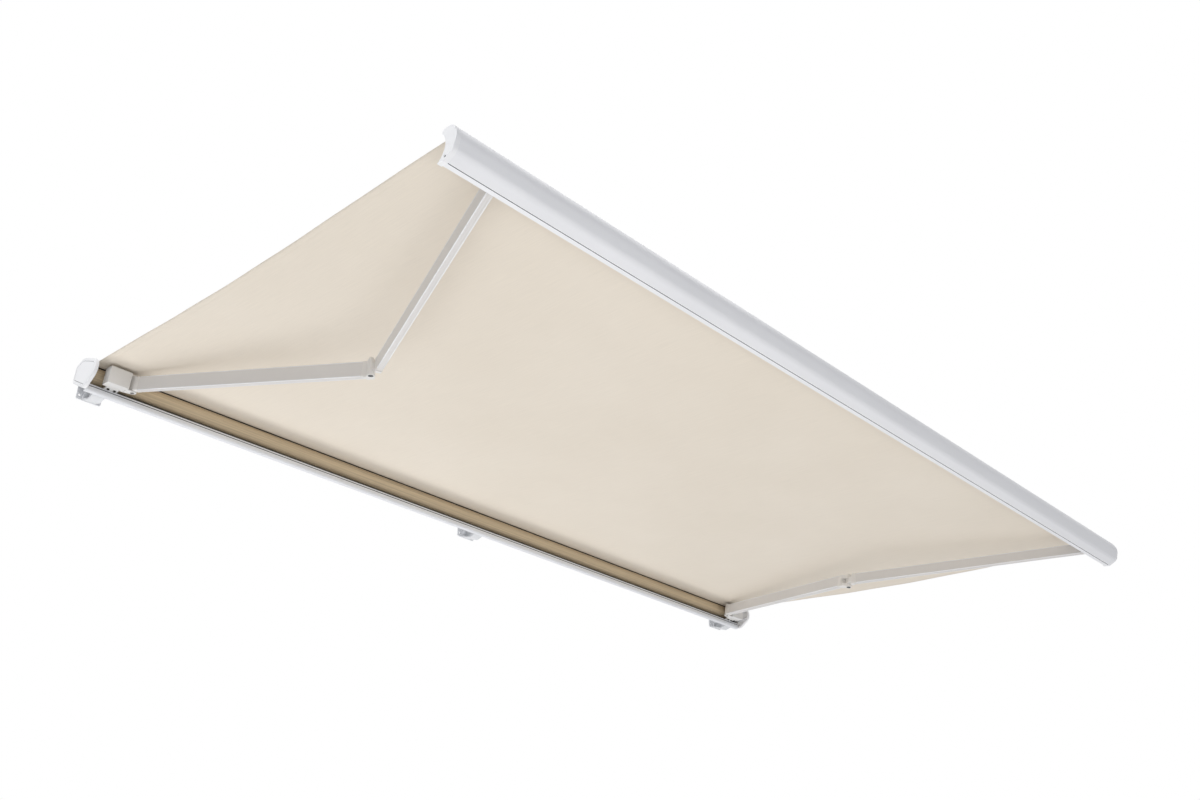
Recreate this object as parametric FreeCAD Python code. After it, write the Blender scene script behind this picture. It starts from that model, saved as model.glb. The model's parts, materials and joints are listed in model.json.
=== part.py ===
import FreeCAD, Part
import math
import os

from FreeCAD import Vector

# A folding-arm cassette awning for a house wall, shown run out to its full projection.
# Millimetres. X runs along the wall, Y points into the wall, Z is up.
# The origin lies on the wall face, in the middle of the centre bracket's four bolt holes.

os.makedirs("parts", exist_ok=True)

# Overall sizes
cassette_length = 5000.0          # extruded housing, between the end caps
cap_thickness = 18.0              # end cap outside the housing
slope_angle = 6.0                 # fall of the cloth and of the front bar's path, degrees
arm_length = 1450.0               # hinge to hinge, the same for rear arm and forearm
open_lean = 70.22                 # run out, each arm leans this far from the wall's line, degrees
closed_gap = 50.0                 # distance between the two arms' centre lines when folded
elbow_drop = 120.0                # elbow below the hinge line when run out
wall_gap = 14.0                   # end cap's back to the wall
far = 1000.0                      # reach of cutting shapes, past every section
running_gap = 0.05                # radial clearance of a pin in its bore
seat_gap = 0.3                    # clearance between faces that are placed side by side
open_pivot_gap = 0.3              # radial clearance at the right front pivot

# Housing section, in the wall's YZ plane
wall_thickness = 3.0
cap_overhang = 4.0                # end cap stands proud of the housing by this much
opening_top_y = -196.0            # front edge of the housing's roof
rail_y = -165.0                   # front face of the bottom rail
rail_depth = 15.0
rail_top = -47.0
mouth_height = 90.0               # rail's top to the lower edge of the mouth's roof
rail_height = 36.0
rail_groove = 4.5
rail_groove_drop = 8.0
port_radius = 5.5                 # screw ports for the end cap screws
port_bore = 2.6
port_roof = (-150.0, 79.0)
port_back = (-34.0, 74.0)
port_floor = (-126.0, -47.0)
port_places = [port_roof, port_back, port_floor]
cap_outline = [
    (-262.0, 42.0, 58.0),
    (-100.0, 114.0, 80.0),
    (-wall_gap, 98.0, 35.0),
    (-wall_gap, 2.0, 30.0),
    (-168.0, -86.0, 40.0),
    (-262.0, -28.0, 52.0),
]

# Roller and motor
roller_y = -115.0
roller_z = 23.0
roller_radius = 40.0
roller_wall = 2.0
wound_cloth = 4.7                 # cloth left on the roller when run out
roller_end_gap = 12.0             # roller tube's end to the end cap
idler_pin_radius = 6.0
plug_length = 60.0
plate_thickness = 6.0
motor_radius = 22.5
motor_length = 620.0
motor_head_length = 8.0
crown_length = 22.0
shaft_radius = 8.0
drive_wheel_length = 20.0

# Cloth
cloth_margin = 14.0               # cloth's side edge to the housing's end
cloth_thickness = 1.2
cloth_sag = 28.0
keder_radius = 3.0

# Shoulder
shoulder_inset = 195.0            # hinge axis to the housing's end
shoulder_y = -225.0
shoulder_z = -4.0
shoulder_pin_radius = 8.0
shoulder_ear = 7.0
shoulder_ear_radius = 19.5
shoulder_block_start = 27.0       # block's inner face, measured outwards from the pin
shoulder_block_length = 106.0
shoulder_block_low = -44.0
shoulder_block_high = 44.0
shoulder_block_depth = 66.0
foot_width = 62.0
foot_thickness = 10.0
foot_hook = 14.0
screw_head_radius = 6.5
screw_head_height = 5.0

# Arms
rear_width = 38.0
rear_height = 70.0
fore_width = 30.0
fore_height = 62.0
fore_lift = 2.0                   # forearm's middle above the hinge plane
arm_rim = 7.0                     # rims above and below the recessed side faces
arm_recess = 1.0
arm_wall = 2.5
arm_corner = 6.0
arm_rib_groove = 1.2
knuckle_reach = 52.0              # tube's end to the hinge axis
knuckle_clear = 24.0              # full height body stops this far from the elbow axis
elbow_pin_radius = 7.0
elbow_barrel_radius = 17.0
elbow_half_height = 36.2
elbow_lug = 19.0
elbow_knob_radius = 11.0
elbow_knob_height = 12.0
elbow_foot_height = 2.5
front_pin_radius = 6.0
front_eye_radius = 15.0
front_eye_height = 38.0
front_ear = 8.0
spigot_length = 70.0
spigot_gap = 0.3
bush_wall = 2.0
bush_flange = 1.5
spring_radius = 11.0
spring_wire = 2.6
spring_length = 620.0
cable_radius = 2.5

# Front bar, measured from the front hinge axis
bar_wall = 3.0
bar_top = 91.0
bar_top_rear = 33.0
bar_lip = -45.0
bar_lip_rear = 41.0
bar_outline = [
    (bar_top_rear, bar_top, 0.0),
    (-23.0, bar_top - 2.0, 32.0),
    (-53.0, 34.0, 55.0),
    (-33.0, -28.0, 36.0),
    (14.0, bar_lip - 5.0, 5.0),
    (bar_lip_rear, bar_lip, 0.0),
]
bar_web_y = -33.0                 # back face of the vertical web that carries the front hinges
bar_keder_y = 27.0
bar_keder_z = 76.0
bar_cap_thickness = 20.0
bar_cap_hollow = [(28.0, 70.0), (9.0, 22.0), (bar_lip_rear - 1.0, bar_lip + 4.0)]
bar_groove = 3.5

# Wall brackets
bracket_inset = 80.0              # outer brackets' middles to the housing's ends
bracket_width = 124.0
bracket_plate = 8.0
bracket_top = 58.0
bracket_bottom = -62.0
bolt_spacing_x = 96.0
bolt_spacing_z = 80.0
bolt_hole_radius = 6.5
bracket_rib_width = 62.0
bracket_nose = 18.0
clamp_width = 46.0

# Derived places
slope = math.radians(slope_angle)
outward = Vector(0, -math.cos(slope), -math.sin(slope))
upward = Vector(0, -math.sin(slope), math.cos(slope))
half_length = cassette_length / 2
cloth_width = cassette_length - 2 * cloth_margin
bracket_spacing = half_length - bracket_inset
shoulder_x = -(half_length - shoulder_inset)
shoulder = Vector(shoulder_x, shoulder_y, shoulder_z)
open_run = 2 * arm_length * math.sin(math.radians(open_lean))
front_closed = shoulder + outward * closed_gap
front_open = shoulder + outward * open_run
closed_reach = math.sqrt(arm_length ** 2 - (closed_gap / 2) ** 2)
open_reach = math.sqrt(arm_length ** 2 - (open_run / 2) ** 2 - elbow_drop ** 2)
pin_lean = math.atan(elbow_drop / (closed_reach - open_reach))
pin_axis = Vector(-math.sin(pin_lean), 0, 0) + upward * math.cos(pin_lean)
elbow_closed = shoulder + Vector(closed_reach, 0, 0) + outward * (closed_gap / 2)
elbow_open = shoulder + Vector(open_reach, 0, 0) + outward * (open_run / 2) - upward * elbow_drop
roller_axis_point = Vector(0, roller_y, roller_z)


def flat_part(vector, axis):
    return vector - axis * vector.dot(axis)


closed_flat = flat_part(elbow_closed - shoulder, pin_axis)
open_flat = flat_part(elbow_open - shoulder, pin_axis)
fold_angle = math.degrees(closed_flat.getAngle(open_flat))


def save(name, shape):
    shape.exportStep("parts/" + name + ".step")


def mirrored(shape):
    return shape.mirror(Vector(0, 0, 0), Vector(1, 0, 0))


def save_pair(name, shape):
    save(name + "_left", shape)
    save(name + "_right", mirrored(shape))


def fuse(shapes):
    whole = shapes[0]
    for shape in shapes[1:]:
        whole = whole.fuse(shape)
    return whole.removeSplitter()


def section_point(pair, x=0.0):
    return Vector(x, pair[0], pair[1])


def rounded_wire(corners, closed=True):
    """Lines between corners (y, z, radius), with a tangent arc at each corner that has a radius."""
    count = len(corners)
    starts = []
    ends = []
    middles = []
    for index, corner in enumerate(corners):
        here = section_point(corner)
        radius = corner[2]
        if radius == 0.0:
            starts.append(here)
            ends.append(here)
            middles.append(None)
            continue
        before = (section_point(corners[index - 1]) - here).normalize()
        after = (section_point(corners[(index + 1) % count]) - here).normalize()
        half = before.getAngle(after) / 2
        reach = radius / math.tan(half)
        bisector = (before + after).normalize()
        starts.append(here + before * reach)
        ends.append(here + after * reach)
        middles.append(here + bisector * (radius / math.sin(half) - radius))
    edges = []
    for index in range(count):
        if middles[index] is not None:
            edges.append(Part.Arc(starts[index], middles[index], ends[index]).toShape())
        following = (index + 1) % count
        if closed or following != 0:
            edges.append(Part.LineSegment(ends[index], starts[following]).toShape())
    return Part.Wire(edges)


def along_x(wire, start, length):
    face = Part.Face(wire)
    face.translate(Vector(start, 0, 0))
    return face.extrude(Vector(length, 0, 0))


def box(x, y, z, length, depth, height):
    return Part.makeBox(length, depth, height, Vector(x, y, z))


def rod(point, axis, radius, low, high):
    """A cylinder about an axis, between two distances from a point on it."""
    return Part.makeCylinder(radius, high - low, point + axis * low, axis)


def ring(point, axis, outer, inner, low, high):
    return rod(point, axis, outer, low, high).cut(rod(point, axis, inner, low - 1, high + 1))


def framed(shape, origin, x_axis, y_axis, z_axis):
    """Place a shape drawn in its own axes at an origin."""
    matrix = FreeCAD.Matrix(
        x_axis.x, y_axis.x, z_axis.x, origin.x,
        x_axis.y, y_axis.y, z_axis.y, origin.y,
        x_axis.z, y_axis.z, z_axis.z, origin.z,
        0, 0, 0, 1)
    placed = shape.copy()
    placed.Placement = FreeCAD.Placement(matrix).multiply(shape.Placement)
    return placed


def in_pin_axes(shape, origin):
    """Local Z is the leaning hinge axis, local X points to the middle, local Y back to the wall."""
    back = outward * -1
    return framed(shape, origin, back.cross(pin_axis), back, pin_axis)


def in_arm_axes(shape, origin):
    """Axes of the folded arm: X along it to the elbow, Y back to the wall, Z square to the cloth."""
    return framed(shape, origin, Vector(1, 0, 0), outward * -1, upward)


def open_rear(shape):
    return shape.rotated(shoulder, pin_axis, -fold_angle)


def open_fore(shape):
    turned = shape.rotated(front_closed, pin_axis, fold_angle)
    return turned.translated(front_open - front_closed)


# Cassette housing: one long extrusion, open at the front
cap_wire = rounded_wire(cap_outline)
housing_outer = cap_wire.makeOffset2D(-cap_overhang)
housing_inner = cap_wire.makeOffset2D(-cap_overhang - wall_thickness)
housing = along_x(housing_outer, -half_length, cassette_length)
housing = housing.cut(along_x(housing_inner, -half_length, cassette_length))
front_cut = box(-half_length, opening_top_y - far, -far, cassette_length, far, 2 * far)
mouth_end = rail_y + rail_depth
mouth_cut = box(-half_length, mouth_end - far, rail_top + mouth_height - far, cassette_length, far, far)
housing = housing.cut(front_cut).cut(mouth_cut)
rail_bottom = rail_top - rail_height
rail_corners = [
    (rail_y + rail_depth, rail_bottom + 8, 3.0),
    (rail_y + rail_depth, rail_top, 2.0),
    (rail_y, rail_top, 2.0),
    (rail_y, rail_bottom, 12.0),
    (rail_y + rail_depth + 14, rail_bottom + 1, 0.0),
    (rail_y + rail_depth + 14, rail_bottom + 8, 0.0),
]
rail = along_x(rounded_wire(rail_corners), -half_length, cassette_length)
groove_z = rail_top - rail_groove_drop - rail_groove
rail = rail.cut(box(-half_length, rail_y, groove_z, cassette_length, rail_groove, rail_groove))
ports = []
for port in port_places:
    ports.append(Part.makeCylinder(port_radius, cassette_length, section_point(port, -half_length), Vector(1, 0, 0)))
port_web = 2.4
webs = [
    box(-half_length, port_roof[0] - port_web / 2, port_roof[1], cassette_length, port_web, port_radius + 3.0),
    box(-half_length, port_back[0], port_back[1], cassette_length, port_radius + 8.5, port_web),
    box(-half_length, port_floor[0] - port_web / 2, port_floor[1] - port_radius - 3.5, cassette_length, port_web,
        port_radius + 3.5),
]
housing = fuse([housing, rail] + ports + webs)
for port in port_places:
    housing = housing.cut(
        Part.makeCylinder(port_bore, cassette_length, section_point(port, -half_length), Vector(1, 0, 0)))
save("cassette_housing", housing)

# Ribbed lip seal that stands on the rail, in front of the roller
seal_height = 9.0
seal_pitch = 3.0
seal_half = -(shoulder_x - shoulder_block_start - shoulder_block_length / 2) - foot_width / 2 - 6.0
seal_parts = [box(-seal_half, rail_y + 3, rail_top, 2 * seal_half, rail_depth - 4, 2.0)]
for index in range(4):
    seal_parts.append(box(-seal_half, rail_y + 3 + index * seal_pitch, rail_top, 2 * seal_half, 1.4, seal_height))
save("rail_seal", fuse(seal_parts))

# End caps with an inset panel
panel_inset = 17.0
panel_depth = 3.5
panel_seam = 1.8
cap = along_x(cap_wire, -half_length - cap_thickness, cap_thickness)
outer_face_x = -half_length - cap_thickness
rim_edges = [edge for edge in cap.Edges if abs(edge.CenterOfMass.x - outer_face_x) < 0.01]
cap = cap.makeFillet(5.0, rim_edges)
recess = along_x(cap_wire.makeOffset2D(-panel_inset), outer_face_x, panel_depth)
cap = cap.cut(recess)
cap_hollow = along_x(cap_wire.makeOffset2D(-10.0), -half_length - cap_thickness + 8, cap_thickness - 8)
cap_ribs = []
for rib_y in (-210.0, -160.0, -66.0):
    cap_ribs.append(box(-half_length - cap_thickness + 8, rib_y, -far, cap_thickness - 8, 3.0, 2 * far))
for rib_z in (-20.0, 60.0):
    cap_ribs.append(box(-half_length - cap_thickness + 8, -far, rib_z, cap_thickness - 8, 2 * far, 3.0))
plain_cap = cap
cap = cap.cut(cap_hollow)
cap = fuse([cap, plain_cap.common(fuse(cap_ribs))])
carrier_pad = Part.makeCylinder(32.0, cap_thickness - 6, Vector(-half_length - cap_thickness + 6, roller_y, roller_z),
                                Vector(1, 0, 0))
cap = fuse([cap, carrier_pad])
cap_screw_length = 30.0
for port in port_places:
    boss = Part.makeCylinder(7.0, cap_thickness - 4, section_point(port, -half_length - cap_thickness + 4),
                             Vector(1, 0, 0))
    cap = fuse([cap, boss.common(plain_cap)])
for port in port_places:
    start = section_point(port, -half_length - cap_thickness - 1)
    cap = cap.cut(Part.makeCylinder(port_bore, cap_thickness + 2, start, Vector(1, 0, 0)))
recess_floor = -half_length - cap_thickness + panel_depth
cap_screw_drop = 4.0
for port in port_places:
    start = section_point(port, recess_floor - 0.01)
    cap = cap.cut(Part.makeCylinder(5.0, cap_screw_drop + 0.01, start, Vector(1, 0, 0)))
save_pair("end_cap", cap)
panel = along_x(cap_wire.makeOffset2D(-panel_inset - panel_seam), outer_face_x + 0.2, panel_depth - 0.2)
save("cap_panels", Part.makeCompound([panel, mirrored(panel)]))

# Roller, its wound cloth, and the carriers at both ends
x_axis = Vector(1, 0, 0)
roller_half = half_length - roller_end_gap
wound_radius = roller_radius + wound_cloth
roller = ring(roller_axis_point, x_axis, roller_radius, roller_radius - roller_wall, -roller_half, roller_half)
save("roller_tube", roller)
wound = ring(roller_axis_point, x_axis, wound_radius, roller_radius, -cloth_width / 2, cloth_width / 2)
save("wound_cloth", wound)

plug_radius = roller_radius - roller_wall
plug = fuse([
    rod(roller_axis_point, x_axis, plug_radius, -roller_half, -roller_half + plug_length),
    rod(roller_axis_point, x_axis, roller_radius + 2, -roller_half - 3, -roller_half),
])
plug = plug.cut(rod(roller_axis_point, x_axis, idler_pin_radius + running_gap, -roller_half - 4,
                    -roller_half + plug_length - 12))
save("idler_plug", plug)
plate_corner = 46.0
plate = rod(roller_axis_point, x_axis, plate_corner, -half_length, -half_length + plate_thickness)
pin = fuse([
    rod(roller_axis_point, x_axis, idler_pin_radius, -half_length + plate_thickness,
        -roller_half + plug_length - 14),
    rod(roller_axis_point, x_axis, 11.0, -half_length + plate_thickness, -half_length + plate_thickness + 2),
])
save("idler_pin", pin)
save("roller_plates", Part.makeCompound([plate, mirrored(plate)]))

motor_end = half_length - plate_thickness
motor_start = motor_end - motor_head_length
motor = fuse([
    rod(roller_axis_point, x_axis, 30.0, motor_start, motor_end),
    rod(roller_axis_point, x_axis, motor_radius, motor_start - motor_length, motor_start),
    rod(roller_axis_point, x_axis, shaft_radius, motor_start - motor_length - drive_wheel_length,
        motor_start - motor_length),
])
save("tube_motor", motor)
crown_end = motor_start - seat_gap
crown = ring(roller_axis_point, x_axis, plug_radius, motor_radius + running_gap,
             crown_end - crown_length, crown_end)
save("motor_crown", crown)
wheel_start = motor_start - motor_length - drive_wheel_length - 2
wheel = ring(roller_axis_point, x_axis, plug_radius, shaft_radius + running_gap,
             wheel_start, wheel_start + drive_wheel_length)
save("drive_wheel", wheel)

# Cloth between the roller and the front bar, with its sag
cloth_start = Vector(0, roller_y, roller_z) + upward * (wound_radius + seat_gap)
bar_keder = Vector(0, front_open.y + bar_keder_y, front_open.z + bar_keder_z)
cloth_end = bar_keder + Vector(0, keder_radius + bar_wall, 0)
cloth_middle = (cloth_start + cloth_end) * 0.5 - upward * cloth_sag
lift = upward * cloth_thickness
lower = Part.Arc(cloth_start, cloth_middle, cloth_end).toShape()
upper = Part.Arc(cloth_end + lift, cloth_middle + lift, cloth_start + lift).toShape()
ends = [
    Part.LineSegment(cloth_end, cloth_end + lift).toShape(),
    Part.LineSegment(cloth_start + lift, cloth_start).toShape(),
]
cloth = along_x(Part.Wire([lower, ends[0], upper, ends[1]]), -cloth_width / 2, cloth_width)
save("awning_cloth", cloth)

# Front bar: a curved skin, a vertical web for the hinges, and a keder channel for the cloth
front_y = front_open.y
front_z = front_open.z


def bar_points(corners):
    return [(front_y + corner[0], front_z + corner[1]) + tuple(corner[2:]) for corner in corners]


outline_points = bar_points(bar_outline)
skin_outer = rounded_wire(outline_points + [(front_y + bar_lip_rear, front_z + bar_top, 0.0)])
skin = along_x(skin_outer, -half_length, cassette_length)
rear_reach = 20.0                 # the hollow runs out of the open back by this much


def run_on(start, end):
    """The end of an outline's side, moved on along that side past the bar's open back."""
    share = (bar_lip_rear + rear_reach - start[0]) / (end[0] - start[0])
    return (bar_lip_rear + rear_reach, start[1] + (end[1] - start[1]) * share, 0.0)


long_outline = [run_on(bar_outline[1], bar_outline[0])] + bar_outline[1:-1] + [run_on(bar_outline[-2], bar_outline[-1])]
long_wire = rounded_wire(bar_points(long_outline))
hollow = along_x(long_wire.makeOffset2D(-bar_wall), -half_length - 1, cassette_length + 2)
skin = skin.cut(hollow)
rear_trim = box(-half_length - 1, front_y + bar_top_rear, front_z - 20, cassette_length + 2, 60, 140)
skin = skin.cut(rear_trim)
web = box(-half_length, front_y + bar_web_y - bar_wall, front_z - 60, cassette_length, bar_wall, 180)
web = web.common(along_x(skin_outer, -half_length, cassette_length))
keder_channel = ring(bar_keder, x_axis, keder_radius + bar_wall, keder_radius + seat_gap, -half_length, half_length)
keder_slot = box(-half_length, bar_keder.y, bar_keder.z - 2.0, cassette_length, keder_radius + bar_wall + 1, 4.0)
keder_stem = box(-half_length, bar_keder.y - 2.0, bar_keder.z + keder_radius + 2, cassette_length, 4.0,
                 bar_top - bar_keder_z - keder_radius - 4)
bar = fuse([skin, web, keder_channel.cut(keder_slot), keder_stem])
groove_y = front_y + 14.0 + 5.0
groove_cut = box(-half_length, groove_y - 6.0, front_z + bar_lip - 6.0, cassette_length, bar_groove, 2.6)
bar = bar.cut(groove_cut)
save("front_bar", bar)
keder = rod(bar_keder, x_axis, keder_radius, -cloth_width / 2, cloth_width / 2)
save("cloth_keder", keder)

# Front bar end caps: a crescent that closes around the cassette's end cap
hollow_points = [Vector(0, front_y + y, front_z + z) for y, z in bar_cap_hollow]
crescent_top = bar_top - 16.0
crescent_start = [
    (bar_top_rear - 2.0, crescent_top, 3.0),
    (bar_top_rear, bar_top, 10.0),
]
crescent_end = [
    (bar_lip_rear + rear_reach, bar_lip, 0.0),
    (bar_lip_rear + rear_reach, crescent_top, 0.0),
]
crescent_corners = bar_points(crescent_start + bar_outline[1:] + crescent_end)
crescent = along_x(rounded_wire(crescent_corners), -half_length - bar_cap_thickness, bar_cap_thickness)
bite_back = front_y + bar_lip_rear + 2 * rear_reach
bite_places = [
    hollow_points[2],
    Vector(0, bite_back, front_z + bar_lip - rear_reach),
    Vector(0, bite_back, front_z + bar_top + rear_reach),
    Vector(0, front_y + bar_top_rear, front_z + crescent_top),
    hollow_points[0],
]
bite_edges = [Part.Arc(hollow_points[0], hollow_points[1], hollow_points[2]).toShape()]
for here, following in zip(bite_places, bite_places[1:]):
    bite_edges.append(Part.LineSegment(here, following).toShape())
bite = along_x(Part.Wire(bite_edges), -half_length - bar_cap_thickness - 1, bar_cap_thickness + 2)
crescent = crescent.cut(bite)
bar_screw_y = front_y + 6.0
bar_screw_z = front_z - 35.0
bar_screw_point = Vector(-half_length - bar_cap_thickness, bar_screw_y, bar_screw_z)
crescent = crescent.cut(Part.makeCylinder(5.0, 6.0, bar_screw_point, x_axis))
crescent = crescent.cut(Part.makeCylinder(port_bore, bar_cap_thickness + 2, bar_screw_point, x_axis))
save_pair("bar_cap", crescent)


def cap_screw(point, length, head_radius, head_height):
    """A pan head screw that points along +X from the given head face."""
    head = Part.makeCylinder(head_radius, head_height, point, x_axis)
    shank = Part.makeCylinder(port_bore - 0.1, length, point + x_axis * head_height, x_axis)
    cross = box(point.x, point.y - 0.6, point.z - head_radius * 0.6, 1.2, 1.2, head_radius * 1.2)
    return fuse([head, shank]).cut(cross)


screws = cap_screw(bar_screw_point + x_axis * 2.5, bar_cap_thickness - 6.5, 4.6, 3.5)
save("bar_cap_screws", Part.makeCompound([screws, mirrored(screws)]))
end_screws = []
for port in port_places:
    head_face = section_point(port, recess_floor + cap_screw_drop - 3.5)
    end_screws.append(cap_screw(head_face, cap_screw_length, 4.6, 3.5))
end_screws = end_screws + [mirrored(screw) for screw in end_screws]
save("end_cap_screws", Part.makeCompound(end_screws))


def prism(points, low, high):
    """An upright prism on local (x, y) points, between two heights."""
    corners = [Vector(x, y, low) for x, y in points]
    return Part.Face(Part.makePolygon(corners + [corners[0]])).extrude(Vector(0, 0, high - low))


def round_box(x, y_low, z_low, length, depth, height, radius):
    """A bar along X whose long edges are rounded."""
    corners = [
        (y_low, z_low, radius),
        (y_low, z_low + height, radius),
        (y_low + depth, z_low + height, radius),
        (y_low + depth, z_low, radius),
    ]
    return along_x(rounded_wire(corners), x, length)


# Shoulder brackets: a cast block on the rail, with two ears for the leaning hinge pin
origin = Vector(0, 0, 0)
z_axis = Vector(0, 0, 1)
ear_low = rear_height / 2 + bush_flange + 0.2
block_near = -shoulder_block_start
block_far = -shoulder_block_start - shoulder_block_length
block = round_box(block_far, -shoulder_block_depth / 2, shoulder_block_low, shoulder_block_length,
                  shoulder_block_depth, shoulder_block_high - shoulder_block_low, 4.0)
block = in_arm_axes(block, shoulder)
ears = []
for ear_start in (ear_low, -ear_low - shoulder_ear):
    ears.append(Part.makeCylinder(shoulder_ear_radius, shoulder_ear, Vector(0, 0, ear_start), z_axis))
    ears.append(box(block_near - 10, -shoulder_ear_radius, ear_start, shoulder_block_start + 10,
                    2 * shoulder_ear_radius, shoulder_ear))
ears = fuse(ears).cut(Part.makeCylinder(shoulder_pin_radius + running_gap, 120, Vector(0, 0, -60), z_axis))
foot_x = shoulder_x + (block_near + block_far) / 2 - foot_width / 2
shelf_low = rail_top + seat_gap
foot = fuse([
    box(foot_x, shoulder_y + 25, shelf_low, foot_width, rail_y + rail_depth + 7 - shoulder_y - 25, foot_thickness),
    box(foot_x, rail_y + rail_depth + seat_gap, rail_top - foot_hook, foot_width, 6.5,
        foot_hook + seat_gap + foot_thickness),
])
foot_screw_radius = 3.0
foot_screw_length = 8.0
foot_screw_places = []
for shift in (-16.0, 16.0):
    foot_screw_places.append(Vector(foot_x + foot_width / 2 + shift, rail_y - 12.0, shelf_low))
for place in foot_screw_places:
    foot = foot.cut(rod(place, z_axis, foot_screw_radius + running_gap, -1.0, foot_screw_length + 0.5))
lip_clear = front_closed.z + bar_lip + bar_wall + 1.0
lip_room = box(shoulder_x - far, shoulder_y - far, lip_clear - far, 2 * far, far + 24.0, far)
bracket = fuse([block, in_pin_axes(ears, shoulder).cut(lip_room), foot])
save_pair("shoulder_bracket", bracket)

pin = fuse([
    rod(origin, z_axis, shoulder_pin_radius, -ear_low - shoulder_ear - 1.0, ear_low + shoulder_ear),
    rod(origin, z_axis, 12.0, ear_low + shoulder_ear, ear_low + shoulder_ear + 3.0),
    rod(origin, z_axis, 9.5, -ear_low - shoulder_ear - 1.5, -ear_low - shoulder_ear),
])
save_pair("shoulder_pin", in_pin_axes(pin, shoulder))


def hex_screw(point, axis, head_radius, head_height, shank_radius, length):
    """A socket screw whose head lies outside the point and whose shank runs along the axis."""
    head = Part.makeCylinder(head_radius, head_height, point, axis * -1)
    shank = Part.makeCylinder(shank_radius, length, point, axis)
    socket = Part.makeCylinder(head_radius * 0.5, head_height * 0.6, point - axis * head_height, axis)
    return fuse([head, shank]).cut(socket)


foot_screws = []
for place in foot_screw_places:
    foot_screws.append(hex_screw(place, z_axis, screw_head_radius, screw_head_height, foot_screw_radius,
                                 foot_screw_length))
foot_screws = foot_screws + [mirrored(screw) for screw in foot_screws]
save("shoulder_screws", Part.makeCompound(foot_screws))


# Arms. They are drawn folded, where both lie along X, and then swung open about the hinge axes
def arm_tube(width, height, start, end, side, lift):
    """Hollow extrusion with ribs along its top and underside, and side faces set back between two rims."""
    low = lift - height / 2
    outer = round_box(start, side - width / 2, low, end - start, width, height, arm_corner)
    inner = round_box(start - 1, side - width / 2 + arm_wall, low + arm_wall, end - start + 2,
                      width - 2 * arm_wall, height - 2 * arm_wall, arm_corner - arm_wall)
    tube = outer.cut(inner)
    for shift in (-width / 6, width / 6):
        for level in (low, low + height - arm_rib_groove):
            tube = tube.cut(box(start - 1, side + shift - 1.0, level, end - start + 2, 2.0, arm_rib_groove))
    for face in (side - width / 2, side + width / 2 - arm_recess):
        tube = tube.cut(box(start - 1, face, low + arm_rim, end - start + 2, arm_recess, height - 2 * arm_rim))
    return tube


def spigot(width, height, start, end, side, lift):
    """The plug that holds a casting inside its tube."""
    inset = arm_wall + spigot_gap
    return round_box(start, side - width / 2 + inset, lift - height / 2 + inset, end - start,
                     width - 2 * inset, height - 2 * inset, arm_corner - arm_wall)


def collar_block(width, height, start, length, side, lift):
    """The end of a casting that stands proud of its tube all round."""
    return round_box(start, side - width / 2 - collar, lift - height / 2 - collar, length,
                     width + 2 * collar, height + 2 * collar, arm_corner)


collar = 1.2                      # castings stand proud of the tubes by this much
tube_end = closed_reach - knuckle_reach
fore_side = -closed_gap
rear_tube = arm_tube(rear_width, rear_height, knuckle_reach, tube_end, 0.0, 0.0)
save_pair("rear_arm_tube", open_rear(in_arm_axes(rear_tube, shoulder)))

root_barrel = rear_width / 2
bush_outer = shoulder_pin_radius + bush_wall
root_pinned = fuse([
    rod(origin, z_axis, root_barrel, -rear_height / 2, rear_height / 2),
    box(0, -root_barrel, -rear_height / 2, 34.0, 2 * root_barrel, rear_height),
])
root_pinned = root_pinned.common(box(-60, -60, -60, 94.0, 120, 120))
root_block = collar_block(rear_width, rear_height, 28.0, knuckle_reach - 28.0, 0.0, 0.0)
root_casting = fuse([
    in_pin_axes(root_pinned, shoulder),
    in_arm_axes(root_block, shoulder),
    in_arm_axes(spigot(rear_width, rear_height, knuckle_reach - 1, knuckle_reach + spigot_length, 0.0, 0.0),
                shoulder),
])
root_casting = root_casting.cut(rod(shoulder, pin_axis, bush_outer, -80, 80))
save_pair("rear_arm_root", open_rear(root_casting))

bushes = []
for sign in (1, -1):
    bush = fuse([
        rod(origin, z_axis * sign, bush_outer, rear_height / 2 - 16.0, rear_height / 2 + bush_flange),
        rod(origin, z_axis * sign, bush_outer + 4.0, rear_height / 2, rear_height / 2 + bush_flange),
    ])
    bushes.append(bush.cut(rod(origin, z_axis, shoulder_pin_radius + running_gap, -60, 60)))
save_pair("shoulder_bushes", open_rear(in_pin_axes(Part.makeCompound(bushes), shoulder)))

# Elbow. The rear casting is a fork with two lugs, and the front casting has one tongue between them
rear_offset = closed_gap / 2
lug_inner = elbow_half_height - elbow_lug
tongue_half = lug_inner - seat_gap
rear_near = rear_offset - rear_width / 2 - collar
rear_far = rear_offset + rear_width / 2 + collar
fore_near = -rear_offset + fore_width / 2 + collar
fore_far = -rear_offset - fore_width / 2 - collar
fork_outline = [
    (-knuckle_clear - 2, -2.0),
    (-knuckle_clear - 2, rear_far),
    (-10.0, rear_far),
    (elbow_barrel_radius - 3, 9.0),
    (elbow_barrel_radius - 3, -2.0),
]
tongue_outline = [
    (-knuckle_clear - 2, 2.0),
    (elbow_barrel_radius - 3, 2.0),
    (elbow_barrel_radius - 3, -9.0),
    (-10.0, fore_far),
    (-knuckle_clear - 2, fore_far),
]
fork_parts = [round_box(-knuckle_reach + 8, rear_near, -elbow_half_height, knuckle_reach - 8 - knuckle_clear,
                        rear_far - rear_near, 2 * elbow_half_height, arm_corner)]
for low in (lug_inner, -elbow_half_height):
    fork_parts.append(prism(fork_outline, low, low + elbow_lug))
    fork_parts.append(rod(origin, z_axis, elbow_barrel_radius, low, low + elbow_lug))
stub_length = 20.0
rear_stub = collar_block(rear_width, rear_height, tube_end, stub_length, 0.0, 0.0)
rear_plug = spigot(rear_width, rear_height, tube_end - spigot_length, tube_end + 1, 0.0, 0.0)
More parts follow.
